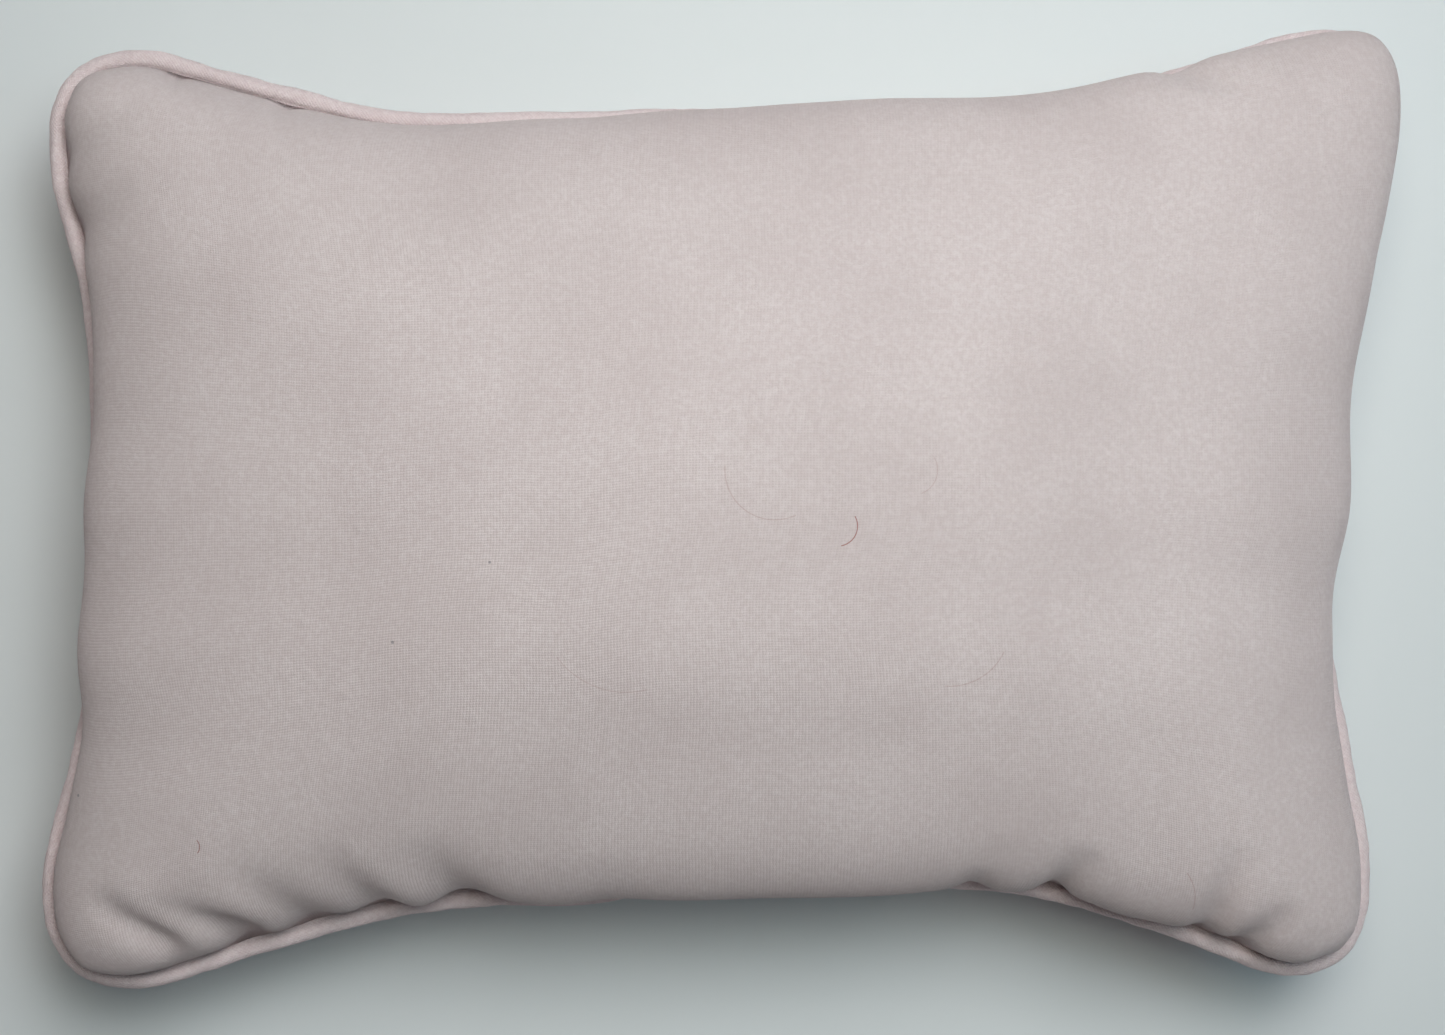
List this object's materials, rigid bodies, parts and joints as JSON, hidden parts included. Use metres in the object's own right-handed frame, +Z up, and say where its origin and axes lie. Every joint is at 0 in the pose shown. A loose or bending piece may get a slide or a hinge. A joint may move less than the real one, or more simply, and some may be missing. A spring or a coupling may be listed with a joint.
{
  "type": "ring bearer pillow",
  "caption": "Small rectangular stuffed pillow with crowned plain-weave panels, full round corners and corded piping in the seam, lying flat.",
  "frame": {"origin": "under the middle of the pillow, on the surface that it lies on", "axes": "+X along the long side, +Y across it, +Z up out of the plain upper panel"},
  "size_m": [0.2994, 0.2124, 0.0869],
  "materials": {
    "panel_cloth": "pale dusty-pink plain weave, brushed, slightly pilled, matt",
    "piping_cloth": "pinker napped cloth cut on the bias, matt and fuzzy",
    "cotton_cord": "undyed soft twisted cotton",
    "sewing_thread": "dusty-pink spun thread, slight sheen",
    "fibrefill": "white loose polyester fibre, matt"
  },
  "bodies": {
    "root": {"upper_panel": "panel_cloth", "lower_panel": "panel_cloth", "piping_cover": "piping_cloth", "piping_cord": "cotton_cord", "piping_needle_thread": "sewing_thread", "piping_bobbin_thread": "sewing_thread", "seam_needle_thread": "sewing_thread", "seam_bobbin_thread": "sewing_thread", "closing_thread": "sewing_thread", "fill_core": "fibrefill", "fill_wad_front_left": "fibrefill", "fill_wad_front_right": "fibrefill", "fill_wad_rear_right": "fibrefill", "fill_wad_rear_left": "fibrefill"}
  },
  "joints": []
}
